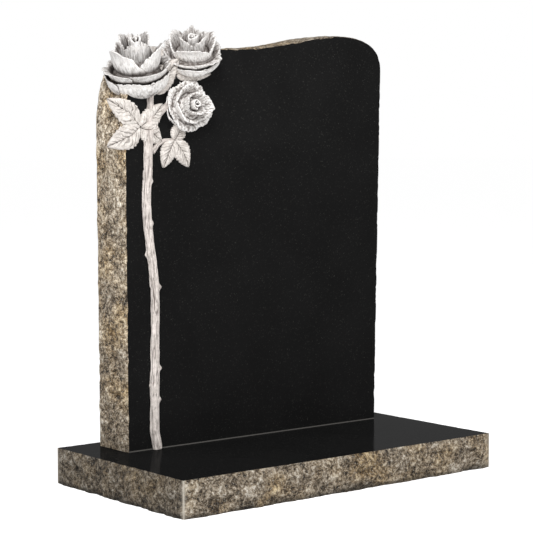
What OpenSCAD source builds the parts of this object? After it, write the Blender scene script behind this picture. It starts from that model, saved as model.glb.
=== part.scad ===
// Headstone: an upright granite tablet with a carved spray of roses, standing on a flat granite base.
// Millimetres. +Z is up and the polished face looks towards -Y. The origin is the middle of the underside.

/* [Base] */

// Width of the base, left to right
base_w = 734; // [500:1:1200]
// Depth of the base, front to back
base_d = 393; // [250:1:600]
// Height of the base
base_h = 66; // [40:1:150]

/* [Tablet] */

// Width of the tablet at its foot
tablet_w = 604; // [400:1:1000]
// How far the left side leans out between the foot and the top
left_lean = 5; // [0:0.5:20]
// How far the right side leans out between the foot and the top
right_lean = 14; // [0:0.5:20]
// Height of the tablet, from the base to its crest
tablet_h = 770; // [500:1:1200]
// Thickness of the tablet
tablet_t = 94; // [75:1:150]
// Width of base left bare at the tablet's left
left_margin = 73; // [20:1:200]
// Depth of base left bare behind the tablet
back_margin = 32; // [10:1:100]
// Height of the crest above the low part of the top
crest_rise = 35; // [10:1:80]
// Width of the rounded right shoulder
right_round_w = 124; // [60:1:200]
// Height of the rounded right shoulder
right_round_h = 72; // [40:1:160]
// Width of the left shoulder, behind the roses
left_round_w = 75; // [40:1:140]
// Height of the left shoulder
left_round_h = 145; // [60:1:220]

/* [Rock pitching] */

// How far the pitched sides swell out past the edges of the polished face
pitch_swell = 3; // [0:0.5:10]
// How far the hollows and lumps of the pitched sides go in and out
pitch_rough = 5; // [0:0.5:12]
// Share of that roughness that the top has
top_rough = 0.25; // [0:0.05:1]

/* [Spray] */

// Distance from the tablet's left edge to the middle of the stem
stem_in = 50; // [30:1:120]
// How far the stem sways to either side
stem_sway = 9; // [0:0.5:20]
// How far the stem's foot kicks out to the right
foot_kick = 7; // [0:0.5:20]
// Width of the stem
stem_w = 18.5; // [10:0.5:40]
// How far the stem stands out of the face
stem_proud = 9; // [4:0.5:20]
// Radius of the large rose at the corner
corner_rose_r = 64; // [40:1:90]
// Radius of the rose on the top edge
top_rose_r = 57; // [35:1:80]
// Radius of the rose on the face
face_rose_r = 48; // [30:1:70]
// Thickness of a petal
petal_thick = 6; // [3:0.5:12]
// Thickness of a leaf above the stone
leaf_proud = 8; // [4:0.5:16]

// Lean of the corner rose's axis from upright
corner_lean = 24; // [0:1:90]
// Direction of that lean, from the face's own towards its right
corner_turn = -45; // [-90:1:90]
// Lean of the top rose's axis from upright
top_lean = 34; // [0:1:90]
// Direction of that lean
top_turn = -36; // [-90:1:90]
// Lean of the face rose's axis from upright
face_lean = 82; // [0:1:90]
// Direction of that lean
face_turn = -3; // [-90:1:90]
// Height of the top and face roses, as a share of a full one's like the corner rose
open_height = 0.74; // [0.5:0.02:1]

/* [Hidden] */

$fn = 32;

black_granite = [0.10, 0.10, 0.10];
pitched_granite = [0.55, 0.50, 0.43];

// Places that the sizes above decide
tablet_x = left_margin - base_w / 2;
face_y = base_d / 2 - back_margin - tablet_t;
low_top = tablet_h - crest_rise;
crest_from = 0.25 * tablet_w;
crest_to = 0.86 * tablet_w;
spray_z = tablet_h - 180;
stem_foot = 12;
stem_top = spray_z - 25;
bend_z = 0.35 * tablet_h;

// Where the middles of the roses are, from the tablet's lower left front corner
corner_rose = [36, 20, spray_z + 103];
top_rose = [149, 4, spray_z + 134];
face_rose = [129, -9, spray_z + 38];

// How far a leaf past the left edge folds back round the corner
fold = 45;

// ---------- small helpers ----------

function lerp(a, b, t) = a + (b - a) * t;
function ease(t) = let (c = min(1, max(0, t))) c * c * (3 - 2 * c);
function flat(rows) = [for (row = rows) each row];
function unit(v) = v / norm(v);
function middle(points) = [for (k = [0:2]) (min([for (p = points) p[k]]) + max([for (p = points) p[k]])) / 2];

// Lumps and hollows of pitched stone, from -1 to 1, for a place a mm along it and b mm across it
function rock(a, b) = 0.45 * sin(a * 3.1 + 50 * sin(b * 2.3))
    + 0.35 * sin(b * 5.7 + a * 1.7 + 40 * sin(a * 4.4)) + 0.2 * sin(a * 9.1 - b * 7.3);
function pitch(a, b, rough = 1) = pitch_swell + rough * pitch_rough * rock(a, b);

// A solid from rings of points. The rings run counterclockwise seen from the last one.
module stack(rings) {
    n = len(rings[0]);
    last = len(rings) - 1;
    hub = [n * (last + 1), n * (last + 1) + 1];
    walls = [for (k = [0:last - 1], i = [0:n - 1]) let (j = (i + 1) % n, a = k * n, b = (k + 1) * n)
        each [[a + i, b + i, b + j], [a + i, b + j, a + j]]];
    caps = [for (i = [0:n - 1]) let (j = (i + 1) % n)
        each [[hub[0], i, j], [hub[1], last * n + j, last * n + i]]];
    polyhedron(concat(flat(rings), [middle(rings[0]), middle(rings[last])]), concat(walls, caps));
}

// A solid between an upper and a lower grid of points. Columns run right and rows run up, seen from outside.
module slab(upper, lower) {
    rows = len(upper);
    cols = len(upper[0]);
    n = rows * cols;
    rim = concat([for (i = [0:cols - 2]) i], [for (j = [0:rows - 2]) j * cols + cols - 1],
        [for (i = [cols - 1:-1:1]) (rows - 1) * cols + i], [for (j = [rows - 1:-1:1]) j * cols]);
    skins = [for (j = [0:rows - 2], i = [0:cols - 2])
        let (a = j * cols + i, b = a + 1, c = b + cols, d = a + cols)
        each [[a, d, c], [a, c, b], [n + a, n + c, n + d], [n + a, n + b, n + c]]];
    walls = [for (k = [0:len(rim) - 1]) let (p = rim[k], q = rim[(k + 1) % len(rim)])
        each [[p, q, n + q], [p, n + q, n + p]]];
    polyhedron(flat(concat(upper, lower)), concat(skins, walls));
}

// ---------- base ----------

// The outline of the base seen from above, as [x, y, nx, ny, distance to the nearest corner]
function base_side(from, to, steps) = let (dir = unit(to - from), size = norm(to - from))
    [for (i = [0:steps - 1]) let (p = lerp(from, to, i / steps), d = i / steps * size)
        [p.x, p.y, dir.y, -dir.x, min(d, size - d)]];

module base() {
    x = base_w / 2;
    y = base_d / 2;
    along = round(base_w / 46);
    across = round(base_d / 44);
    outline = concat(base_side([-x, -y], [x, -y], along), base_side([x, -y], [x, y], across),
        base_side([x, y], [-x, y], along), base_side([-x, y], [-x, -y], across));
    levels = [0, 0.2, 0.42, 0.64, 0.85, 1];
    color(pitched_granite) stack([for (v = levels) [for (p = outline)
        let (a = p.x + 1.7 * p.y, fade = min(1, p[4] / 25) * (v == 0 ? 0.5 : sqrt(sin(180 * min(0.97, v)))),
            out = v == 1 ? 0 : fade * pitch(a, v * base_h * 2))
            [p.x + out * p[2], p.y + out * p[3], v * base_h]]]);
}

// ---------- tablet ----------

function left_edge(z) = -left_lean * z / tablet_h;
function right_edge(z) = tablet_w + right_lean * z / tablet_h;

// Height of the top at x, between the two shoulders
function top_line(x) = low_top + crest_rise * pow(ease((x - crest_from) / (crest_to - crest_from)), 2);

// A rounded shoulder, a share t of the way from its side up to the top. power 2 is an ellipse.
function shoulder(t, power) = [pow(cos(90 * t), 2 / power), pow(sin(90 * t), 2 / power)];

right_side = [for (z = [0:42:tablet_h - right_round_h - 20]) [right_edge(z), z]];
right_round = [for (i = [0:7]) let (q = shoulder(i / 8, 2.8), z = tablet_h - right_round_h)
    [right_edge(z) - right_round_w * (1 - q.x), z + right_round_h * q.y]];
across_top = [for (i = [0:13]) let (x = lerp(right_edge(tablet_h) - right_round_w, left_round_w, i / 14))
    [x, top_line(x)]];
left_round = [for (i = [0:5]) let (q = shoulder(1 - i / 6, 2), z = low_top - left_round_h)
    [left_edge(z) + left_round_w * (1 - q.x), z + left_round_h * q.y]];
left_side = [for (z = [low_top - left_round_h:-42:15]) [left_edge(z), z]];
tablet_outline = concat([[left_edge(0), 0]], right_side, right_round, across_top, left_round, left_side);

// The outline moved out by the pitching, for a place a share d of the way from front to back
function tablet_ring(d) = let (n = len(tablet_outline)) [for (i = [0:n - 1])
    let (p = tablet_outline[i], run = unit(tablet_outline[(i + 1) % n] - tablet_outline[(i + n - 1) % n]),
        rough = lerp(1, top_rough, max(0, -run.x)), fade = min(1, p.y / 25) * sqrt(max(0, sin(180 * d))),
        out = fade * pitch(p.x - p.y, d * tablet_t, rough))
        [p.x + out * run.y, d * tablet_t, p.y - out * run.x]];

module tablet() {
    stack([for (d = [1, 0.86, 0.68, 0.5, 0.32, 0.14, 0]) tablet_ring(d)]);
}

// ---------- stem and leaves, on the face: x to the right of the left edge, z above the base ----------

// A place on the face. Left of the edge the face folds back round the corner.
function on_face(x, z, out) = x >= 0 ? [x, -out, z]
    : [x * cos(fold) - out * sin(fold), -x * sin(fold) - out * cos(fold), z];

// Across the face, the middle of the stem at a height. It leans slowly out to the bend, then winds back.
function stem_x(z) = stem_in + foot_kick * (1 - ease(z / 36))
    + stem_sway * (z < bend_z ? 1 - (1 - z / bend_z) / 3 : cos(min(235, 0.96 * (z - bend_z))));

module twig(p, q, r1, r2) {
    hull() {
        translate([p.x, 0, p.y]) scale([1, stem_proud / 10, 1]) sphere(r1, $fn = 8);
        translate([q.x, 0, q.y]) scale([1, stem_proud / 10, 1]) sphere(r2, $fn = 8);
    }
}

module stem() {
    steps = 12;
    for (i = [0:steps - 1]) {
        z1 = lerp(stem_foot, stem_top, i / steps);
        z2 = lerp(stem_foot, stem_top, (i + 1) / steps);
        twig([stem_x(z1), z1], [stem_x(z2), z2], stem_w / 2, stem_w / 2);
    }
}

// A leaf from its base to its tip, both [x, z] on the face. The midrib lies in a fold.
module leaf(from, to, width) {
    dir = unit(to - from);
    size = norm(to - from);
    grid = [for (j = [0:5]) let (t = j / 5, half = width / 2 * pow(sin(180 * pow(t, 0.75)), 0.8) + 0.6)
        [for (s = [-1:0.5:1]) let (p = from + dir * size * t + [dir.y, -dir.x] * half * s)
            [p.x, p.y, leaf_proud * (1 - 0.45 * pow(2 * t - 1, 2)) * (1 - 0.35 * pow(2 * abs(s) - 1, 2))]]];
    slab([for (row = grid) [for (p = row) on_face(p.x, p.y, p.z)]],
        [for (row = grid) [for (p = row) on_face(p.x, p.y, -26) + [p.x < 0 ? 8 : 0, 0, 0]]]);
}

// ---------- roses ----------

// Each ring of petals is [petals, reach, height, half width, curl, droop, turn, foot]. As shares of the
// rose's radius, reach is how far out the rim stands, height how high, curl how far it rolls out and foot the
// height of the petal's root. The half width and the turn of the first petal are angles. droop is how much
// lower the petal's corners are than its middle.
rings = [[3, 0.40, 0.96, 64, 0.05, 0.16, 0, -0.5], [3, 0.70, 0.80, 70, 0.10, 0.42, 60, -0.5],
    [4, 0.85, 0.24, 54, 0.15, 0.18, 15, -0.5], [5, 0.88, -0.06, 44, 0.06, 0.12, 50, -0.85]];

// The bud in the middle, as shares of the rose's radius
bud_height = 0.98;
bud_r = 0.22;
bud_wall = 0.05;

// The solid heart that fills the bloom behind its petals, as [height, radius] shares of the rose's radius
heart = [[-0.82, 0.24], [-0.14, 0.76], [0.5, 0.26]];

// A point of a petal of a rose of radius r, about the axis +Z and centred on +X. s runs across it from -1
// to 1, t up it from 0 to 1, and in is the depth below its outer skin.
function petal_point(r, ring, s, t, in) = let (
    reach = ring[1], height = ring[2], half = ring[3], curl = ring[4], droop = ring[5], foot = ring[7],
    u = t * (1 - droop * s * s),
    roll = curl * pow(max(0, u - 0.7) / 0.3, 2),
    out = r * (0.12 + (reach - 0.12) * sin(90 * min(1, 1.25 * u)) * (1 + 0.035 * s) + roll) - in,
    up = r * (foot + (height - foot) * pow(u, 1.3) - 0.7 * roll))
    [out * cos(s * half), out * sin(s * half), up - 0.4 * in * roll];

module petal(r, ring) {
    n = floor(ring[3] / 18);
    across = [for (i = [-n:n]) i / n];
    rows = [0.3, 0.6, 0.82, 1];
    slab([for (t = rows) [for (s = across) petal_point(r, ring, s, t, 0)]],
        [for (t = rows) [for (s = across) petal_point(r, ring, s, t, petal_thick * (2.5 - 1.5 * t))]]);
}

// The tight middle of the bloom, wound like a scroll
module bud(r) {
    wind = 585;
    turns = [for (a = [0:45:wind]) a];
    function wound(a, z, in) = let (q = r * lerp(0.06, bud_r, a / wind) - in) [q * cos(a), q * sin(a), z];
    slab([for (z = [0, bud_height * r]) [for (a = turns) wound(a, z, 0)]],
        [for (z = [0, bud_height * r]) [for (a = turns) wound(a, z, bud_wall * r)]]);
}

module rose(r) {
    bud(r);
    hull() for (disc = heart) translate([0, 0, disc[0] * r]) cylinder(h = 1, r = disc[1] * r, $fn = 20);
    for (ring = rings, i = [0:ring[0] - 1]) rotate(ring[6] + i * 360 / ring[0]) petal(r, ring);
}

// Puts a rose at [x, y, z] from the tablet's lower left front corner, leaning out by lean towards turn.
// height is its height as a share of a full one's.
module bloom(place, r, lean, turn, spin, height) {
    translate(place) rotate([lean, 0, turn]) rotate(spin) scale([1, 1, height]) rose(r);
}

// The stone cut away round a bloom, from a little below its middle up past the top of the tablet
module clearing(place, r, lean, turn) {
    translate(place) rotate([lean, 0, turn]) translate([0, 0, -0.1 * r])
        cylinder(h = 4 * r, r = 1.12 * r, $fn = 24);
}

module spray() {
    stem();
    fork = [45, spray_z - 6];
    joint = [103, spray_z - 24];
    twig([stem_x(spray_z - 70), spray_z - 70], fork, stem_w / 2, 0.62 * stem_w);
    twig(fork, [52, spray_z + 75], stem_w / 2.4, stem_w / 3);
    twig([50, spray_z + 10], [92, spray_z + 42], stem_w / 3, stem_w / 3);
    twig([54, spray_z - 44], [75, spray_z - 28], stem_w / 4, stem_w / 5);
    twig([75, spray_z - 28], joint, stem_w / 5, stem_w / 5);
    leaf([26, spray_z], [-36, spray_z + 50], 38);
    leaf([26, spray_z], [-36, spray_z - 36], 40);
    leaf([28, spray_z], [76, spray_z + 42], 34);
    leaf([28, spray_z - 2], [74, spray_z - 26], 38);
    leaf([64, spray_z + 60], [114, spray_z + 124], 36);
    leaf([108, spray_z + 96], [186, spray_z + 98], 32);
    leaf(joint, [120, spray_z + 12], 28);
    leaf(joint, [134, spray_z - 73], 34);
    leaf(joint, [78, spray_z - 74], 30);
    bloom(corner_rose, corner_rose_r, corner_lean, corner_turn, -68, 1);
    bloom(top_rose, top_rose_r, top_lean, top_turn, -150, open_height);
    bloom(face_rose, face_rose_r, face_lean, face_turn, 50, open_height);
}

module headstone() {
    translate([tablet_x, face_y, base_h]) color(black_granite) union() {
        difference() {
            tablet();
            clearing(corner_rose, corner_rose_r, corner_lean, corner_turn);
            clearing(top_rose, top_rose_r, top_lean, top_turn);
        }
        difference() {
            spray();
            translate([-tablet_w / 2, tablet_t, 0]) cube([tablet_w, tablet_t, 2 * tablet_h]);
        }
    }
}

base();
headstone();
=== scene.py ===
"""Headstone: a black granite tablet with pitched sides and a carved spray of roses, on a granite base."""

import math

import bpy
import numpy as np
from mathutils import Matrix, Vector


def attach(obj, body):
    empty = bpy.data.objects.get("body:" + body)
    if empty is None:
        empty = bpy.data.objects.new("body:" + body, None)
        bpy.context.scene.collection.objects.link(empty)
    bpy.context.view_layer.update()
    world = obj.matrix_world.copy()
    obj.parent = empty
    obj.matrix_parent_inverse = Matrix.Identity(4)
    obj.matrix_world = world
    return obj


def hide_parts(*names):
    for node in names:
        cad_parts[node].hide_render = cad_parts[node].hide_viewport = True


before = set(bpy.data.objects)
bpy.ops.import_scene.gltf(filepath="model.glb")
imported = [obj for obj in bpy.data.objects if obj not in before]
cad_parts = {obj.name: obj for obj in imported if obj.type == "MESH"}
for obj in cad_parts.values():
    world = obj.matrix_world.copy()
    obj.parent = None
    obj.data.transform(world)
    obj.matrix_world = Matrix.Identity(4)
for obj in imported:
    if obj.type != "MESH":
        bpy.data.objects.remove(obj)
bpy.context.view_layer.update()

# Sizes in millimetres, the same as the solids'. A power says how square a rounded shoulder is.
BASE_W, BASE_D, BASE_H = 734.0, 393.0, 66.0
TABLET_W, TABLET_H, TABLET_T = 604.0, 770.0, 94.0
LEFT_LEAN, RIGHT_LEAN = 5.0, 14.0
LEFT_MARGIN, BACK_MARGIN = 73.0, 32.0
CREST_RISE = 35.0
RIGHT_ROUND_W, RIGHT_ROUND_H, RIGHT_POWER = 124.0, 72.0, 2.8
LEFT_ROUND_W, LEFT_ROUND_H, LEFT_POWER = 75.0, 145.0, 2.0
PITCH_SWELL, PITCH_ROUGH, TOP_ROUGH = 3.0, 5.0, 0.25
STEM_IN, STEM_SWAY, STEM_W, STEM_PROUD = 50.0, 9.0, 18.5, 9.0
FOOT_KICK = 7.0
LEAF_PROUD = 8.0
PETAL_THICK = 6.0
FOLD = math.radians(45)

TABLET_X = LEFT_MARGIN - BASE_W / 2
FACE_Y = BASE_D / 2 - BACK_MARGIN - TABLET_T
LOW_TOP = TABLET_H - CREST_RISE
CREST_FROM, CREST_TO = 0.25 * TABLET_W, 0.86 * TABLET_W
SPRAY_Z = TABLET_H - 180.0
BEND_Z = 0.35 * TABLET_H
TABLET_FOOT = np.array([TABLET_X, FACE_Y, BASE_H])

LEAF_JOINT = (103, SPRAY_Z - 24)  # where the lowest twig ends in three leaves

MM = 0.001
GRAIN = 3.4  # spacing of the points on pitched stone
CALM = 25.0  # how far from a square corner the pitching reaches its full depth
CIRCLE = 48  # points on a circle
STEM_STEP, STEM_SIDES = 2.0, 60
LEAF_ROWS, LEAF_COLUMNS = 84, 61
LEAF_TEETH, LEAF_VEINS = 9, 8
LEAF_ROOT = 22.0  # how deep a leaf's underside lies in the stone
LEAF_TUCK = 8.0  # how far right the underside is moved into the stone where a leaf is past the left edge
PETAL_ROWS, PETAL_COLUMNS = 44, 61
BACK_GUARD = 10.0  # depth of stone behind a rose in which its petals are flattened


# ---------- numbers ----------


def ease(t):
    """0 up to t 0 and 1 from t 1, with a soft start and end between them."""
    c = np.clip(t, 0, 1)
    return c * c * (3 - 2 * c)


def groove(away, width):
    """1 in the middle of a groove and 0 well away from it."""
    return np.exp(-((away / width) ** 2))


def spread(*coordinates):
    """Points from their coordinates, each spread over the grid that they share."""
    return np.stack(np.broadcast_arrays(*coordinates), -1)


def lattice(cell, seed):
    """A fixed random number from 0 to 1 for each whole-number cell."""
    h = cell.astype(np.int64) * np.array([73856093, 19349663, 83492791])
    h = (h[..., 0] ^ h[..., 1] ^ h[..., 2] ^ (seed * 26544357)) & 0xFFFFFFFF
    h = ((h ^ (h >> 13)) * 1274126177) & 0xFFFFFFFF
    return ((h ^ (h >> 16)) & 0xFFFFFF) / float(0xFFFFFF)


def noise(p, size, seed=0):
    """Smooth noise from -1 to 1 at the points p, with lumps about size across."""
    q = np.asarray(p, float) / size
    cell = np.floor(q)
    f = q - cell
    f = f * f * (3 - 2 * f)
    total = np.zeros(q.shape[:-1])
    for corner in np.ndindex(2, 2, 2):
        weight = np.prod(np.where(np.array(corner), f, 1 - f), axis=-1)
        total += weight * lattice(cell + np.array(corner), seed)
    return 2 * total - 1


def crags(p, size, seed=0):
    """Noise with sharp ridges between scooped hollows, from -1 to 1."""
    return 1 - 2 * np.abs(noise(p, size, seed))


def sin(degrees):
    """The sine of an angle in degrees."""
    return np.sin(np.radians(degrees))


def rock(a, b):
    """The larger lumps and hollows of pitched stone, the same as the solids have."""
    return (
        0.45 * sin(a * 3.1 + 50 * sin(b * 2.3))
        + 0.35 * sin(b * 5.7 + a * 1.7 + 40 * sin(a * 4.4))
        + 0.2 * sin(a * 9.1 - b * 7.3)
    )


def pitched(a, b, p, rough=1.0):
    """How far pitched stone stands out at the points p, from lumps down to chips."""
    lumps = PITCH_ROUGH * rock(a, b)
    scoops = 2.2 * crags(p, 34, 5) + 2.6 * crags(p, 13, 9)
    return PITCH_SWELL + rough * (lumps + scoops + 1.7 * noise(p, 7.5, 3))


def chips(p, seed):
    """How far small chips bite into a sharp edge at the points p."""
    return -1.7 * np.clip(noise(p, 13, seed) + 0.6 * noise(p, 5, seed + 1), 0, 1)


# ---------- meshes ----------


def new_object(name, points, faces, slots, materials=None, smooth=False):
    """An object from points in mm; materials gives each face's slot."""
    mesh = bpy.data.meshes.new(name)
    mesh.from_pydata((np.asarray(points) * MM).tolist(), [], faces)
    for material in slots:
        mesh.materials.append(material)
    if materials is not None:
        mesh.polygons.foreach_set("material_index", materials)
    mesh.polygons.foreach_set("use_smooth", [smooth] * len(mesh.polygons))
    mesh.update()
    made = bpy.data.objects.new(name, mesh)
    bpy.context.scene.collection.objects.link(made)
    return made


def tube_faces(rings, count):
    """Quads round a stack of closed rings that run counterclockwise seen from the last one."""
    k, i = np.meshgrid(np.arange(rings - 1), np.arange(count), indexing="ij")
    j = (i + 1) % count
    quads = np.stack([k * count + i, k * count + j, (k + 1) * count + j, (k + 1) * count + i], -1)
    return quads.reshape(-1, 4).tolist()


def slab(upper, lower):
    """Points and faces of a solid between two grids. Columns run right and rows up, seen from outside."""
    rows, cols = upper.shape[:2]
    n = rows * cols
    a = (np.arange(rows - 1)[:, None] * cols + np.arange(cols - 1)).ravel()
    top = np.stack([a, a + 1, a + cols + 1, a + cols], -1)
    bottom = n + top[:, ::-1]
    rim = (
        list(range(cols - 1))
        + [j * cols + cols - 1 for j in range(rows - 1)]
        + [(rows - 1) * cols + i for i in range(cols - 1, 0, -1)]
        + [j * cols for j in range(rows - 1, 0, -1)]
    )
    p, q = np.array(rim), np.roll(rim, -1)
    walls = np.stack([p, n + p, n + q, q], -1)
    points = np.concatenate([upper.reshape(-1, 3), lower.reshape(-1, 3)])
    return points, np.concatenate([top, bottom, walls])


def faces_of(quads):
    """Quads as lists, with the ones that repeat their last corner as triangles."""
    return [q[:3] if q[2] == q[3] else q for q in quads.tolist()]


def joined(parts):
    """One list of points and faces from several."""
    points, faces, start = [], [], 0
    for p, f in parts:
        points.append(p)
        faces.append(f + start)
        start += len(p)
    return np.concatenate(points), np.concatenate(faces)


def resampled(line, step):
    """Points about step apart along a line."""
    line = np.asarray(line, float)
    run = np.concatenate([[0], np.cumsum(np.linalg.norm(np.diff(line, axis=0), axis=1))])
    at = np.linspace(0, run[-1], max(2, int(run[-1] / step) + 1))
    return np.stack([np.interp(at, run, line[:, k]) for k in range(2)], -1)


def store(piece, name, values):
    """Keeps a number, or a vector, for each point of a piece for its material to read."""
    values = np.asarray(values, np.float32)
    kind, key = ("FLOAT_VECTOR", "vector") if values.ndim == 2 else ("FLOAT", "value")
    attribute = piece.data.attributes.new(name, kind, "POINT")
    attribute.data.foreach_set(key, values.ravel())


# ---------- base ----------


def base_outline():
    """The base's outline from above as x, y, outward x, outward y and the distance to a corner."""
    x, y = BASE_W / 2, BASE_D / 2
    corners = np.array([[-x, -y], [x, -y], [x, y], [-x, y]])
    sides = []
    for start, end in zip(corners, np.roll(corners, -1, axis=0)):
        size = np.linalg.norm(end - start)
        run = np.linspace(0, size, int(size / GRAIN))[:-1]
        way = (end - start) / size
        place = start + way * run[:, None]
        out = np.tile([way[1], -way[0]], (len(run), 1))
        sides.append(np.column_stack([place, out, np.minimum(run, size - run)]))
    return np.concatenate(sides)


def make_base(polished, pitched_stone, sawn):
    """The base. Painted shade makes its left end darker than its other sides and darkens all of them
    towards the ground.
    """
    outline = base_outline()
    levels = np.linspace(0, 1, int(BASE_H / GRAIN) + 1)
    rings, depths, painted_shades = [], [], []
    for v in levels:
        place = np.column_stack([outline[:, :2], np.full(len(outline), v * BASE_H)])
        near_edge = 0.5 if v == 0 else math.sqrt(math.sin(math.pi * min(0.97, v)))
        fade = np.clip(outline[:, 4] / CALM, 0, 1)
        coarse = pitched(outline[:, 0] + 1.7 * outline[:, 1], v * BASE_H * 2, place)
        out = fade * (chips(place, 31) if v == 1 else near_edge * coarse)
        place[:, :2] += out[:, None] * outline[:, 2:4]
        rings.append(place)
        depths.append(coarse)
        # Painted shade, darker towards the ground in an uneven band.
        painted_foot_shade = 0.25 + 0.75 * ease(v * BASE_H / (13 + 9 * noise(place, 40, 7)))
        # Painted shade on the left end, darker than the other sides.
        painted_shades.append(np.where(outline[:, 2] < -0.5, 0.44, 0.80) * painted_foot_shade)
    count = len(outline)
    points = np.concatenate(rings)
    faces = tube_faces(len(levels), count)
    sides = len(faces)
    faces.append(list(range(count - 1, -1, -1)))
    faces.append([(len(levels) - 1) * count + i for i in range(count)])
    made = new_object("base_slab", points, faces, [pitched_stone, sawn, polished], [0] * sides + [1, 2])
    store(made, "depth", np.concatenate(depths))
    store(made, "arris", np.tile(np.exp(-outline[:, 4] / 2.0), len(levels)))
    store(made, "painted_light", np.concatenate(painted_shades))
    return made


# ---------- tablet ----------


def left_edge(z):
    """How far right the tablet's left edge is at a height."""
    return -LEFT_LEAN * z / TABLET_H


def right_edge(z):
    """How far right the tablet's right edge is at a height."""
    return TABLET_W + RIGHT_LEAN * z / TABLET_H


def top_line(x):
    """Height of the top at x, between the two shoulders."""
    return LOW_TOP + CREST_RISE * ease((x - CREST_FROM) / (CREST_TO - CREST_FROM)) ** 2


def shoulder(t, power):
    """Points of a rounded shoulder, from its side at t 0 to the top at t 1."""
    return np.cos(t * math.pi / 2) ** (2 / power), np.sin(t * math.pi / 2) ** (2 / power)


def tablet_outline():
    """The tablet's outline seen from the front, from its lower left corner round to it again."""
    t = np.linspace(0, 1, 40)
    right_x, right_z = shoulder(t, RIGHT_POWER)
    right_z = TABLET_H - RIGHT_ROUND_H + RIGHT_ROUND_H * right_z
    right = np.column_stack([right_edge(right_z) - RIGHT_ROUND_W * (1 - right_x), right_z])
    top_x = np.linspace(right[-1, 0], LEFT_ROUND_W, 120)[1:-1]
    left_x, left_z = shoulder(t[::-1], LEFT_POWER)
    left_z = LOW_TOP - LEFT_ROUND_H + LEFT_ROUND_H * left_z
    left = np.column_stack([left_edge(left_z) + LEFT_ROUND_W * (1 - left_x), left_z])
    top = np.column_stack([top_x, top_line(top_x)])
    line = np.concatenate([[[TABLET_W, 0]], right, top, left, [[0, 0]]])
    return resampled(line, GRAIN)


def make_tablet(polished, pitched_stone, sawn):
    """The tablet without its carving. Its top is smoother and darker than its sides, and painted light
    makes them paler upwards.

    The ends of its open outline are the foot's corners, and the foot is one straight edge between them.
    """
    outline = tablet_outline()
    run = np.gradient(outline, axis=0)
    run /= np.linalg.norm(run, axis=1)[:, None]
    on_top = np.clip(-run[:, 0], 0, 1)
    rough = 1 + (TOP_ROUGH - 1) * on_top
    # Painted light: the sides grow paler upwards; the top is darker.
    painted_light = (0.95 + 0.7 * (outline[:, 1] / TABLET_H) ** 2) * (1 - 0.45 * on_top)
    fade = np.clip(outline[:, 1] / CALM, 0, 1)
    shares = np.linspace(1, 0, int(TABLET_T / GRAIN) + 1)
    rings, depths = [], []
    for d in shares:
        place = np.column_stack([outline[:, 0], np.full(len(outline), d * TABLET_T), outline[:, 1]])
        coarse = pitched(outline[:, 0] - outline[:, 1], d * TABLET_T, place, rough)
        out = fade * (chips(place, 41) if d in (0, 1) else math.sqrt(math.sin(math.pi * d)) * coarse)
        place[:, 0] += out * run[:, 1]
        place[:, 2] -= out * run[:, 0]
        rings.append(place)
        depths.append(coarse)
    count = len(outline)
    faces = tube_faces(len(shares), count)
    sides = len(faces)
    faces.append(list(range(count - 1, -1, -1)))
    faces.append([(len(shares) - 1) * count + i for i in range(count)])
    made = new_object("tablet", np.concatenate(rings) + TABLET_FOOT, faces,
                      [pitched_stone, sawn, polished], [0] * sides + [1, 2])
    store(made, "depth", np.concatenate(depths))
    store(made, "painted_light", np.tile(painted_light, len(shares)))
    return made


def cut(piece, cutters):
    """Takes the cutters away from a piece, which leaves their material on the new faces."""
    for cutter in cutters:
        step = piece.modifiers.new("cut", "BOOLEAN")
        step.operation = "DIFFERENCE"
        step.solver = "MANIFOLD"
        step.material_mode = "TRANSFER"
        step.object = cutter
    bpy.context.view_layer.update()
    evaluated = piece.evaluated_get(bpy.context.evaluated_depsgraph_get())
    mesh = bpy.data.meshes.new_from_object(evaluated)
    piece.modifiers.clear()
    piece.data = mesh
    for cutter in cutters:
        bpy.data.objects.remove(cutter)


# ---------- stem and leaves, on the face ----------


def on_face(x, z, out):
    """A place x right of the tablet's left edge, z up it and out from it.

    Left of the edge the face folds back.
    """
    folded = x < 0
    return spread(
        np.where(folded, x * math.cos(FOLD) - out * math.sin(FOLD), x),
        np.where(folded, -x * math.sin(FOLD) - out * math.cos(FOLD), -out),
        z,
    )


def stem_x(z):
    """Across the face, the middle of the stem at a height. It leans out to the bend, then winds back."""
    wind = np.cos(np.radians(np.minimum(235, 0.96 * (z - BEND_Z))))
    return (STEM_IN + FOOT_KICK * (1 - ease(z / 36))
            + STEM_SWAY * np.where(z < BEND_Z, 1 - (1 - z / BEND_Z) / 3, wind))


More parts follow.
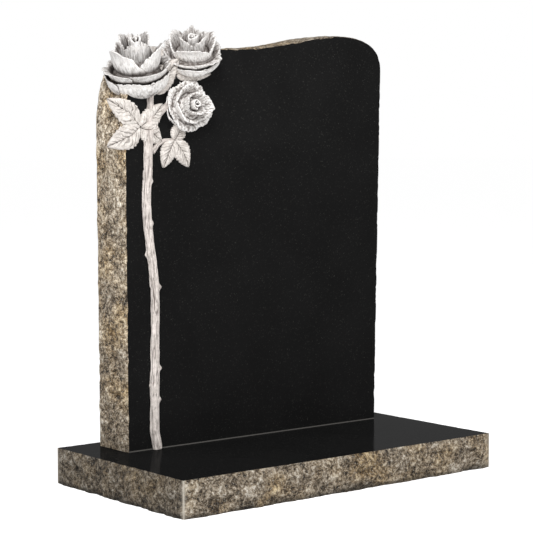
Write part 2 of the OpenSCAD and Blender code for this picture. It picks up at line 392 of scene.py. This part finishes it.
def bark_tube(path, radii, seed, thorns=()):
    """A stem along a path of x, z on the face, with lengthwise cuts and small thorns.

    A thorn is its height, its side, 1 for right and -1 for left, and its size.
    """
    path = resampled(path, STEM_STEP)
    n = len(path)
    run = np.gradient(path, axis=0)
    run /= np.linalg.norm(run, axis=1)[:, None]
    r = np.interp(np.linspace(0, 1, n), np.linspace(0, 1, len(radii)), radii)
    turn = np.linspace(0, 2 * math.pi, STEM_SIDES, endpoint=False)[None, :]
    along = np.arange(n)[:, None] * STEM_STEP
    across = np.cos(turn)
    round_it = spread(7 * across, 7 * np.sin(turn), along / 20)
    cuts = groove(noise(round_it, 1.1, seed), 0.15)
    knots = noise(spread(along / 22, seed, 0), 1, seed)
    width = r[:, None] * (1 - 0.13 * cuts + 0.05 * knots + 0.03 * noise(round_it, 0.5, seed + 1))
    for at, side, size in thorns:
        near = groove(path[:, 1][:, None] - at, 5.0)
        width = width + size * near * np.clip(side * across, 0, 1) ** 3
    x = path[:, 0][:, None] + width * across * run[:, 1][:, None]
    z = path[:, 1][:, None] - width * across * run[:, 0][:, None]
    out = width * np.sin(turn) * STEM_PROUD / 10
    faces = np.array(tube_faces(n, STEM_SIDES))[:, ::-1]
    first_tip = n * STEM_SIDES
    last_tip = first_tip + 1
    i = np.arange(STEM_SIDES)
    j = (i + 1) % STEM_SIDES
    last = (n - 1) * STEM_SIDES
    caps = np.concatenate([
        spread(i, j, first_tip, first_tip),
        spread(j + last, i + last, last_tip, last_tip),
    ])
    tips = [on_face(path[k : k + 1, 0], path[k : k + 1, 1], np.zeros(1)) for k in (0, n - 1)]
    points = np.concatenate([on_face(x, z, out).reshape(-1, 3)] + tips)
    # Painted shade in the lengthwise cuts.
    dark = np.concatenate([0.25 + 0.75 * cuts.ravel(), [0, 0]])
    grain = np.concatenate([(round_it * [1.6, 1.6, 0.5]).reshape(-1, 3), np.zeros((2, 3))])
    return points, np.concatenate([faces, caps]), dark, grain


def leaf(base, tip, width, seed):
    """A toothed leaf from its base to its tip on the face, with a midrib and side veins."""
    base, tip = np.array(base, float), np.array(tip, float)
    way = tip - base
    size = np.linalg.norm(way)
    way /= size
    right = np.array([way[1], -way[0]])
    t = np.linspace(0, 1, LEAF_ROWS)[:, None]
    s = np.linspace(-1, 1, LEAF_COLUMNS)[None, :]
    teeth = 1 + 0.08 * (1 - 2 * ((t * LEAF_TEETH) % 1)) * np.sin(math.pi * t)
    half = width / 2 * np.sin(math.pi * t**0.75) ** 0.8 * teeth + 0.6
    bend = 0.05 * size * np.sin(math.pi * t) * (1 if seed % 2 else -1)
    x = base[0] + way[0] * size * t + right[0] * (half * s + bend)
    z = base[1] + way[1] * size * t + right[1] * (half * s + bend)
    dome = (1 - 0.45 * (2 * t - 1) ** 2) * (1 - 0.45 * (2 * np.abs(s) - 0.9) ** 2)
    waves = noise(spread(x, z, seed), 13, seed)
    wobble = noise(spread(x, z, seed), 4.5, seed + 20)
    slant = t * LEAF_VEINS - np.abs(s) * 2.2 + 0.4 * waves + 0.25 * wobble
    fine_slant = 2.9 * slant + 0.4 * waves
    vein = groove(slant % 1 - 0.5, 0.10) * np.clip(1.25 - np.abs(s) + 0.8 * waves, 0, 1)
    hatch = 0.7 * groove(fine_slant % 1 - 0.5, 0.2) * np.clip(1.1 - np.abs(s), 0, 1)
    midrib = groove(s + 0.07 * waves, 0.035) * (t < 0.93)
    out = LEAF_PROUD * dome - 1.1 * vein - 0.4 * hatch - 1.2 * midrib + 0.8 * waves
    upper = on_face(x, z, out)
    lower = on_face(x, z, -LEAF_ROOT)
    lower[..., 0] += np.where(x < 0, LEAF_TUCK, 0.0)
    points, faces = slab(upper, lower)
    # Painted shade in the veins, the hatching and the midrib.
    dark = np.clip((0.95 * vein + hatch) * np.sin(math.pi * t) ** 0.4 + 0.6 * midrib, 0, 1)
    grain = spread(4 * slant, 1.2 * s, seed)
    return points, faces, np.tile(dark.ravel(), 2), np.tile(grain.reshape(-1, 3), (2, 1))


# ---------- roses ----------

# Each ring of petals, the same as the solids': how many, reach, height, half width, curl, droop, turn and
# foot. Lengths are shares of the rose's radius and angles are in degrees.
RINGS = [
    (3, 0.40, 0.96, 64, 0.05, 0.16, 0, -0.5),
    (3, 0.70, 0.80, 70, 0.10, 0.42, 60, -0.5),
    (4, 0.85, 0.24, 54, 0.15, 0.18, 15, -0.5),
    (5, 0.88, -0.06, 44, 0.06, 0.12, 50, -0.85),
]
BUD_HEIGHT, BUD_R, BUD_WALL = 0.98, 0.22, 0.05

# Each bloom: place from the tablet's lower left front corner, radius, lean, turn and spin in degrees, and
# its height as a share of a full one's.
BLOOMS = {
    "corner_rose": ((36, 20, SPRAY_Z + 103), 64, 24, -45, -68, 1.0),
    "top_rose": ((149, 4, SPRAY_Z + 134), 57, 34, -36, -150, 0.74),
    "face_rose": ((129, -9, SPRAY_Z + 38), 48, 82, -3, 50, 0.74),
}


def petal(r, ring, seed):
    """A petal of a rose of radius r about +Z, centred on +X, with a rolled and ragged rim."""
    _, reach, height, half, curl, droop, _, root = ring
    t = np.linspace(0.2, 1, PETAL_ROWS)[:, None]
    s = np.linspace(-1, 1, PETAL_COLUMNS)[None, :]
    strip = spread(s * 2.2, t * 0.7, seed * 3.7)
    ragged = 0.045 * noise(strip * [2.4, 0, 1], 0.8, seed) + 0.035 * noise(strip * [7, 0, 1], 0.8, seed + 2)
    tip = 0.04 * groove(s, 0.2)
    u = t * (1 - droop * s**2 + (tip + ragged) * t**3)
    roll = curl * (np.clip(u - 0.7, 0, 1) / 0.3) ** 2
    ripple = 0.03 * noise(strip, 0.8, seed + 3) * t**2
    cuts = groove(noise(strip * [11, 1.2, 1], 1, seed + 1), 0.10) * np.clip(1.1 - t, 0, 1)
    bowl = np.sin(np.minimum(math.pi / 2, 1.25 * u * math.pi / 2)) * (1 + 0.035 * s)
    swell = 0.12 + (reach - 0.12) * bowl + roll + ripple - 0.008 * cuts
    up = r * (root + (height - root) * np.clip(u, 0, None) ** 1.3 - 0.7 * roll + 0.5 * ripple)
    thick = PETAL_THICK * (2.3 - 1.75 * t)
    angle = np.radians(s * half)

    def skin(inward):
        """The petal's surface, moved inward from its outside."""
        out = r * swell - inward
        return spread(out * np.cos(angle), out * np.sin(angle), up - 0.4 * inward * roll)

    points, faces = slab(skin(0), skin(thick))
    # Painted shade: outside, darker towards the base, at the sides and on the inner rings; inside, dark
    # over most of it.
    side_edge = ease((np.abs(s) - 0.55) / 0.45)
    outside = np.clip(1.2 - 1.3 * t, 0, 1) + 0.35 * side_edge + max(0, 0.75 - reach)
    inside = np.clip(1.3 - 0.55 * t + 0.25 * s**2, 0, 1)
    dark = np.concatenate([outside.ravel(), inside.ravel()])
    grain = spread(9 * angle + 0.8 * t, t * 6, seed)
    return points, faces, dark, np.tile(grain.reshape(-1, 3), (2, 1))


def bud(r):
    """The tight middle of the bloom, wound like a scroll."""
    a = np.linspace(0, math.radians(585), 110)[None, :]
    z = np.linspace(0, 1, 24)[:, None]
    q = r * (0.06 + (BUD_R - 0.06) * a / a.max()) * (1 + 0.05 * np.sin(math.pi * z))
    up = r * BUD_HEIGHT * z * (0.93 + 0.06 * np.sin(a * 1.7))

    def wound(inward):
        """The scroll's surface, moved inward from its outside."""
        return spread((q - inward) * np.cos(a), (q - inward) * np.sin(a), up)

    points, faces = slab(wound(0), wound(BUD_WALL * r))
    # Painted shade, darker down into the scroll.
    dark = np.tile((1.3 - z + 0 * a).ravel(), 2)
    grain = spread(a * 3, 2 * z, 0)
    return points, faces, dark, np.tile(grain.reshape(-1, 3), (2, 1))


def heart(r):
    """The solid middle that the petals grow from."""
    out = r * np.array([0.02, 0.24, 0.76, 0.73, 0.26, 0.02])[:, None]
    up = r * np.array([-0.84, -0.82, -0.14, -0.1, 0.5, 0.52])[:, None]
    a = np.linspace(0, 2 * math.pi, CIRCLE, endpoint=False)
    points = spread(out * np.cos(a), out * np.sin(a), up).reshape(-1, 3)
    faces = np.array(tube_faces(len(out), CIRCLE))
    # All of it in painted shade.
    return points, faces, np.ones(len(points)), points / 6


def turned(points, axis, degrees):
    """Points turned about one of the axes."""
    return points @ np.array(Matrix.Rotation(math.radians(degrees), 3, axis)).T


def leaning(points, place, lean, turn):
    """Points about +Z leaned back to front, turned and moved to their place."""
    return turned(turned(points, "X", lean), "Z", turn) + np.array(place)


def placed(points, place, lean, turn, spin, height):
    """Puts a bloom in its place, with what would come out of the tablet's back flattened inside it."""
    points = leaning(turned(points * [1, 1, height], "Z", spin), place, lean, turn)
    deep = points[:, 1] > TABLET_T - BACK_GUARD
    beyond = points[deep, 1] - TABLET_T + BACK_GUARD
    points[deep, 1] = TABLET_T - BACK_GUARD * np.exp(-beyond / BACK_GUARD)
    return points


def carving(name, parts, material):
    """One object from carved parts, with the painted shade in their cuts and the way their tool marks run.
    """
    points, faces = joined([part[:2] for part in parts])
    made = new_object(name, points + TABLET_FOOT, faces_of(faces), [material], smooth=True)
    store(made, "foot", np.concatenate([part[2] for part in parts]))
    store(made, "grain", np.concatenate([part[3] for part in parts]))
    return made


def make_bloom(name, material):
    """A rose: its bud, its heart and its rings of petals."""
    place, r, *pose = BLOOMS[name]
    parts = [bud(r), heart(r)]
    for number, ring in enumerate(RINGS):
        for i in range(ring[0]):
            points, *rest = petal(r, ring, 10 * number + i + r)
            parts.append((turned(points, "Z", ring[6] + i * 360 / ring[0]), *rest))
    return carving(name, [(placed(p, place, *pose), *rest) for p, *rest in parts], material)


def clearing(name, material):
    """The space cut away round a bloom, a cylinder along its axis."""
    place, r, lean, turn = BLOOMS[name][:4]
    a = np.linspace(0, 2 * math.pi, CIRCLE, endpoint=False)
    ring = spread(1.12 * r * np.cos(a), 1.12 * r * np.sin(a), 0)
    points = np.concatenate([ring + [0, 0, -0.1 * r], ring + [0, 0, 3.9 * r]])
    points = leaning(points, place, lean, turn) + TABLET_FOOT
    ends = [list(range(CIRCLE - 1, -1, -1)), list(range(CIRCLE, 2 * CIRCLE))]
    return new_object(name + "_space", points, tube_faces(2, CIRCLE) + ends, [material])


def make_stem(material):
    """The stem from the foot to the fork, its two twigs up to the roses and the one to the lower leaves."""
    z = np.linspace(0, SPRAY_Z - 25, 60)
    thorns = [(92, 1, 5), (150, 1, 6), (298, 1, 6), (360, -1, 5), (415, 1, 4), (492, 1, 4), (120, -1, 3)]
    low = SPRAY_Z - 70
    half = STEM_W / 2
    fork = (45, SPRAY_Z - 6)
    left_twig = [fork, (50, SPRAY_Z + 40), (52, SPRAY_Z + 75)]
    right_twig = [(46, SPRAY_Z + 4), (70, SPRAY_Z + 24), (94, SPRAY_Z + 44)]
    leaf_twig = [(54, SPRAY_Z - 46), (66, SPRAY_Z - 32), (80, SPRAY_Z - 25), LEAF_JOINT]
    return carving("rose_stem", [
        bark_tube(np.column_stack([stem_x(z), z]), [half * 1.05, half * 0.98, half], 3, thorns),
        bark_tube([(float(stem_x(low)), low), fork], [half * 0.85, half * 1.1, half * 1.3], 5),
        bark_tube(left_twig, [half * 0.9, half * 0.75, half * 0.66], 8),
        bark_tube(right_twig, [half * 0.8, half * 0.66], 12),
        bark_tube(leaf_twig, [half * 0.6, half * 0.45, half * 0.4], 15),
    ], material)


def make_leaves(material):
    """Four leaves round the fork, two behind the roses and three at the end of the lowest twig."""
    return carving("rose_leaves", [
        leaf((26, SPRAY_Z), (-36, SPRAY_Z + 50), 40, 1),
        leaf((26, SPRAY_Z), (-36, SPRAY_Z - 36), 42, 2),
        leaf((28, SPRAY_Z), (76, SPRAY_Z + 42), 36, 3),
        leaf((28, SPRAY_Z - 2), (74, SPRAY_Z - 26), 40, 4),
        leaf((64, SPRAY_Z + 60), (114, SPRAY_Z + 124), 38, 8),
        leaf((108, SPRAY_Z + 96), (186, SPRAY_Z + 98), 34, 10),
        leaf(LEAF_JOINT, (120, SPRAY_Z + 12), 30, 5),
        leaf(LEAF_JOINT, (134, SPRAY_Z - 73), 36, 6),
        leaf(LEAF_JOINT, (78, SPRAY_Z - 74), 32, 7),
    ], material)


# ---------- materials ----------

# A painted highlight along the foot of the tablet's face: where it starts and how high it is.
HIGHLIGHT_FOOT, HIGHLIGHT_HEIGHT = 0.0002, 0.0022  # metres above the base, and metres high


def linear(*rgb):
    """A colour from 0 to 255 as the linear colour that renders as it."""
    return tuple((c / 255 / 12.92) if c <= 10 else ((c / 255 + 0.055) / 1.055) ** 2.4 for c in rgb) + (1.0,)


class Nodes:
    """A new material's node tree, with short ways to add the nodes that the stones share."""

    def __init__(self, name):
        self.material = bpy.data.materials.new(name)
        self.material.use_nodes = True
        self.tree = self.material.node_tree
        self.surface = self.tree.nodes["Principled BSDF"]
        self.place = self.add("ShaderNodeTexCoord").outputs["Object"]

    def add(self, kind, **settings):
        """A new node with its settings."""
        node = self.tree.nodes.new(kind)
        for key, value in settings.items():
            setattr(node, key, value)
        return node

    def link(self, source, target):
        """Links an output to an input."""
        self.tree.links.new(source, target)

    def attribute(self, name):
        """A number stored on the mesh."""
        return self.add("ShaderNodeAttribute", attribute_name=name).outputs["Fac"]

    def noise(self, scale, detail=3.0, roughness=0.5, place=None, distortion=0.0):
        """Noise about 0.5 with scale cells to the metre, or to the unit of the place given."""
        node = self.add("ShaderNodeTexNoise")
        self.link(place or self.place, node.inputs["Vector"])
        node.inputs["Scale"].default_value = scale
        node.inputs["Detail"].default_value = detail
        node.inputs["Roughness"].default_value = roughness
        node.inputs["Distortion"].default_value = distortion
        return node.outputs["Fac"]

    def ramp(self, source, stops):
        """A colour ramp; stops are (place, colour)."""
        node = self.add("ShaderNodeValToRGB")
        elements = node.color_ramp.elements
        for _ in stops[2:]:
            elements.new(0.5)
        for element, (at, colour) in zip(elements, stops):
            element.position = at
            element.color = colour
        self.link(source, node.inputs["Fac"])
        return node.outputs["Color"]

    def feed(self, socket, value):
        """Gives a socket its value, or links it to the socket that does."""
        if isinstance(value, bpy.types.NodeSocket):
            self.link(value, socket)
        else:
            socket.default_value = value

    def mix(self, share, one, two, blend="MIX"):
        """A mix of two colours, which are the mix node's sockets 6 and 7."""
        node = self.add("ShaderNodeMix", data_type="RGBA", blend_type=blend)
        self.feed(node.inputs["Factor"], share)
        self.feed(node.inputs[6], one)
        self.feed(node.inputs[7], two)
        return node.outputs[2]

    def math(self, kind, one, two=0.0, clamp=False):
        """A sum of the given kind on two numbers or sockets."""
        node = self.add("ShaderNodeMath", operation=kind, use_clamp=clamp)
        self.feed(node.inputs[0], one)
        self.feed(node.inputs[1], two)
        return node.outputs[0]

    def hollows(self, reach):
        """0 in tight hollows and 1 in the open."""
        node = self.add("ShaderNodeAmbientOcclusion", samples=8, only_local=True)
        node.inputs["Distance"].default_value = reach
        return node.outputs["AO"]

    def finish(self, colour, roughness, height=None, depth=0.0):
        """The material, with bumps where a height is given."""
        self.link(colour, self.surface.inputs["Base Color"])
        self.feed(self.surface.inputs["Roughness"], roughness)
        if height is not None:
            bump = self.add("ShaderNodeBump")
            bump.inputs["Strength"].default_value = 1.0
            bump.inputs["Distance"].default_value = depth
            self.link(height, bump.inputs["Height"])
            self.link(bump.outputs["Normal"], self.surface.inputs["Normal"])
        return self.material


def polished_granite():
    """Near-black stone with fine grey specks, and a thin pale painted highlight along the foot of the
    tablet's face, where it meets the base.

    A trace of metal gives it its sheen at low angles only.
    """
    n = Nodes("polished granite")
    cloud = n.ramp(n.noise(9, 4), [(0.35, linear(23, 23, 23)), (0.7, linear(26, 26, 26))])
    specks = n.ramp(n.noise(420, 2, 0.6), [(0.64, (0, 0, 0, 1)), (0.72, (1, 1, 1, 1))])
    colour = n.mix(n.math("MULTIPLY", specks, 0.5), cloud, linear(72, 71, 68))
    height = n.add("ShaderNodeSeparateXYZ")
    n.link(n.place, height.inputs[0])
    above_foot = n.math("SUBTRACT", height.outputs["Z"], BASE_H * MM + HIGHLIGHT_FOOT)
    over = n.math("GREATER_THAN", above_foot, 0.0)
    under = n.math("LESS_THAN", above_foot, HIGHLIGHT_HEIGHT)
    # Painted highlight: a thin pale band along the foot of the tablet's face.
    in_highlight = n.math("MULTIPLY", over, under)
    colour = n.mix(in_highlight, colour, linear(92, 90, 87))
    n.surface.inputs["Metallic"].default_value = 0.07
    n.surface.inputs["Specular IOR Level"].default_value = 0.0
    return n.finish(colour, n.math("ADD", 0.1, n.math("MULTIPLY", specks, 0.15)))


def sawn_granite():
    """The same stone as the saw leaves it, grey and matt."""
    n = Nodes("sawn granite")
    cloud = n.ramp(n.noise(60, 5), [(0.3, linear(58, 57, 55)), (0.7, linear(84, 82, 79))])
    specks = n.ramp(n.noise(700, 2), [(0.55, (0, 0, 0, 1)), (0.7, (1, 1, 1, 1))])
    colour = n.mix(n.math("MULTIPLY", specks, 0.4), cloud, linear(130, 128, 124))
    return n.finish(colour, 0.75, n.noise(500, 3), 0.0003)


def pitched_granite():
    """Rock-pitched stone: tan and brown, with painted light on its ridges and painted shade in its hollows.
    """
    n = Nodes("pitched granite")
    # Painted light and shade: the stored depth makes ridges paler and hollows darker.
    depth = n.math("ADD", n.math("MULTIPLY", n.attribute("depth"), 0.055), 0.33)
    patches = n.noise(42, 4, 0.65, distortion=1.0)
    grain = n.noise(160, 5, 0.75)
    level = n.math("ADD", n.math("MULTIPLY", depth, 0.1), n.math("MULTIPLY", patches, 0.4))
    level = n.math("ADD", level, n.math("MULTIPLY", grain, 0.8))
    tan = n.ramp(level, [
        (0.54, linear(34, 27, 21)),
        (0.61, linear(98, 84, 67)),
        (0.69, linear(168, 152, 130)),
        (0.82, linear(250, 242, 228)),
    ])
    golden = n.ramp(n.noise(14, 3), [(0.45, (1, 1, 1, 1)), (0.7, linear(255, 240, 208))])
    colour = n.mix(1.0, tan, golden, "MULTIPLY")
    flecks = n.ramp(n.noise(420, 3, 0.6), [(0.56, (0, 0, 0, 1)), (0.64, (1, 1, 1, 1))])
    colour = n.mix(n.math("MULTIPLY", flecks, 0.5), colour, linear(242, 233, 217))
    # Painted shade: small dark spots that stand for shadowed pits.
    painted_pit_shade = n.ramp(n.noise(340, 2, 0.5), [(0.33, (1, 1, 1, 1)), (0.42, (0, 0, 0, 1))])
    colour = n.mix(n.math("MULTIPLY", painted_pit_shade, 0.6), colour, linear(48, 40, 31))
    # Painted shade, darker in the hollows.
    shade = n.ramp(n.hollows(0.010), [(0.4, (0.22, 0.19, 0.16, 1)), (0.92, (1, 1, 1, 1))])
    colour = n.mix(1.0, colour, shade, "MULTIPLY")
    # Painted light and shade kept on the mesh: paler up the tablet's sides, darker on the base's left end
    # and towards the ground, and a darker tablet top.
    colour = n.mix(1.0, colour, n.attribute("painted_light"), "MULTIPLY")
    colour = n.mix(n.attribute("arris"), colour, linear(205, 197, 184))
    n.surface.inputs["Specular IOR Level"].default_value = 0.3
    return n.finish(colour, 0.82, n.math("ADD", patches, grain), 0.006)


def chiselled(name, low, high, cut_colour, reach, painted_cut_shade=0.6):
    """Carved stone from low to high colour, with tool marks along its grain and painted shade in its cuts.

    reach is how far a hollow's painted shade spreads, in metres, and the last argument is the share of
    painted shade in the deepest cuts.
    """
    n = Nodes(name)
    light = n.ramp(n.noise(150, 5, 0.6), [(0.3, linear(*low)), (0.62, linear(*high))])
    along = n.add("ShaderNodeAttribute", attribute_name="grain").outputs["Vector"]
    marks = n.ramp(n.noise(1.0, 4, 0.6, along), [(0.42, (1, 1, 1, 1)), (0.52, (0, 0, 0, 1))])
    # foot holds the painted shade stored on each carving.
    foot = n.attribute("foot")
    # Tool marks, drawn darker where there is painted shade.
    marks_and_painted_shade = n.math("MULTIPLY", marks, n.math("ADD", n.math("MULTIPLY", foot, 0.75), 0.12))
    colour = n.mix(marks_and_painted_shade, light, linear(*cut_colour))
    # Painted shade in the deepest cuts.
    deep = n.math("MULTIPLY", n.math("POWER", foot, 3.0), painted_cut_shade, clamp=True)
    colour = n.mix(deep, colour, linear(*cut_colour))
    # Painted shade in tight hollows.
    shade = n.ramp(n.hollows(reach), [
        (0.15, linear(40, 34, 31)),
        (0.38, linear(140, 132, 127)),
        (0.68, (1, 1, 1, 1)),
    ])
    colour = n.mix(1.0, colour, shade, "MULTIPLY")
    pores = n.noise(620, 3, 0.6)
    speck = n.ramp(pores, [(0.3, (0.72, 0.70, 0.68, 1)), (0.42, (1, 1, 1, 1))])
    colour = n.mix(1.0, colour, speck, "MULTIPLY")
    n.surface.inputs["Specular IOR Level"].default_value = 0.25
    height = n.math("SUBTRACT", n.math("MULTIPLY", pores, 0.5), n.math("MULTIPLY", marks, foot))
    return n.finish(colour, 0.72, height, 0.0006)


# ---------- stage ----------

FLOOR_REACH = 60000  # mm from the middle to each side
FLOOR_GLOW = 0.475  # makes the floor as white as the backdrop and leaves its shadow
WORLD_LIGHT = 0.62  # how strongly the white world lights the object

CAMERA_LENS, SENSOR_WIDTH = 112.87, 36
CAMERA_FROM_CORNER = (-1.6225, -2.2202, 0.5563)  # metres from the base's upper left front corner
CAMERA_TURN, CAMERA_DIP = math.radians(39.04), math.radians(4.14)

# Name, place, size in metres and power in watts
LAMPS = [
    ("key", (-1.9, -1.7, 2.3), 1.2, 72),
    ("fill", (1.6, -2.6, 1.4), 1.6, 22),
]
LAMP_AIM = (0, 0.1, 0.45)


def make_floor():
    """A pale floor, with a glow that only the camera sees."""
    n = Nodes("floor")
    n.surface.inputs["Base Color"].default_value = linear(236, 236, 236)
    n.surface.inputs["Roughness"].default_value = 1.0
    n.surface.inputs["Specular IOR Level"].default_value = 0.0
    glow = n.add("ShaderNodeEmission")
    seen = n.add("ShaderNodeLightPath")
    both = n.add("ShaderNodeAddShader")
    n.link(n.math("MULTIPLY", seen.outputs["Is Camera Ray"], FLOOR_GLOW), glow.inputs["Strength"])
    n.link(n.surface.outputs[0], both.inputs[0])
    n.link(glow.outputs[0], both.inputs[1])
    n.link(both.outputs[0], n.tree.nodes["Material Output"].inputs["Surface"])
    size = FLOOR_REACH
    corners = [[-size, -size, 0], [size, -size, 0], [size, size, 0], [-size, size, 0]]
    floor = new_object("floor", corners, [[0, 1, 2, 3]], [n.material])


def make_world():
    """A white world: full white where it is seen or mirrored, and less where it lights the object."""
    world = bpy.data.worlds.new("studio")
    bpy.context.scene.world = world
    world.use_nodes = True
    tree = world.node_tree
    back = tree.nodes["Background"]
    back.inputs["Color"].default_value = (1, 1, 1, 1)
    path = tree.nodes.new("ShaderNodeLightPath")
    either = tree.nodes.new("ShaderNodeMath")
    either.operation = "MAXIMUM"
    tree.links.new(path.outputs["Is Camera Ray"], either.inputs[0])
    tree.links.new(path.outputs["Is Glossy Ray"], either.inputs[1])
    through = tree.nodes.new("ShaderNodeMath")
    through.operation = "MAXIMUM"
    tree.links.new(either.outputs[0], through.inputs[0])
    tree.links.new(path.outputs["Is Transmission Ray"], through.inputs[1])
    level = tree.nodes.new("ShaderNodeMapRange")
    level.inputs["To Min"].default_value = WORLD_LIGHT
    level.inputs["To Max"].default_value = 1.0
    tree.links.new(through.outputs[0], level.inputs["Value"])
    tree.links.new(level.outputs["Result"], back.inputs["Strength"])


def make_lamps():
    """Soft lamps that look at the middle of the tablet."""
    for name, place, size, power in LAMPS:
        lamp = bpy.data.lights.new(name, "AREA")
        lamp.size = size
        lamp.energy = power
        made = bpy.data.objects.new(name, lamp)
        made.location = place
        aim = Vector(LAMP_AIM) - Vector(place)
        made.rotation_euler = aim.to_track_quat("-Z", "Y").to_euler()
        bpy.context.scene.collection.objects.link(made)


def make_camera():
    """The camera stands off the left front corner, above the middle, and looks slightly down."""
    camera = bpy.data.cameras.new("camera")
    camera.lens = CAMERA_LENS
    camera.sensor_width = SENSOR_WIDTH
    made = bpy.data.objects.new("camera", camera)
    corner = Vector((-BASE_W / 2 * MM, -BASE_D / 2 * MM, BASE_H * MM))
    turn = Matrix.Rotation(-CAMERA_TURN, 4, "Z")
    level = Matrix.Rotation(math.pi / 2 - CAMERA_DIP, 4, "X")
    made.matrix_world = Matrix.Translation(corner + Vector(CAMERA_FROM_CORNER)) @ turn @ level
    bpy.context.scene.collection.objects.link(made)
    bpy.context.scene.camera = made


# ---------- the whole ----------

polished = polished_granite()
sawn = sawn_granite()
rock_face = pitched_granite()
# One carved stone in three copies: the top and face roses' painted lighter, and each with its own amount of
# painted shade.
large_petals = chiselled("large petal granite", (231, 227, 223), (252, 250, 248), (76, 64, 58), 0.015, 0.8)
small_petals = chiselled("small petal granite", (239, 235, 231), (253, 251, 249), (94, 82, 75), 0.006, 0.7)
open_petals = chiselled("open petal granite", (241, 237, 233), (254, 252, 250), (104, 92, 85), 0.006, 0.2)
leaf_stone = chiselled("leaf granite", (192, 184, 177), (233, 227, 221), (84, 74, 66), 0.007)
stem_stone = chiselled("stem granite", (207, 198, 191), (239, 230, 224), (104, 92, 86), 0.006)

base_slab = make_base(polished, rock_face, sawn)
tablet = make_tablet(polished, rock_face, sawn)
cut(tablet, [clearing("corner_rose", leaf_stone), clearing("top_rose", leaf_stone)])
carvings = [make_stem(stem_stone), make_leaves(leaf_stone)]
carvings += [
    make_bloom("corner_rose", large_petals),
    make_bloom("top_rose", small_petals),
    make_bloom("face_rose", open_petals),
]

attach(base_slab, "root")
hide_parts("base")
for piece in [tablet] + carvings:
    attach(piece, "root")
    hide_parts("headstone")

make_floor()
make_world()
make_lamps()
make_camera()
bpy.context.scene.view_settings.view_transform = "Standard"
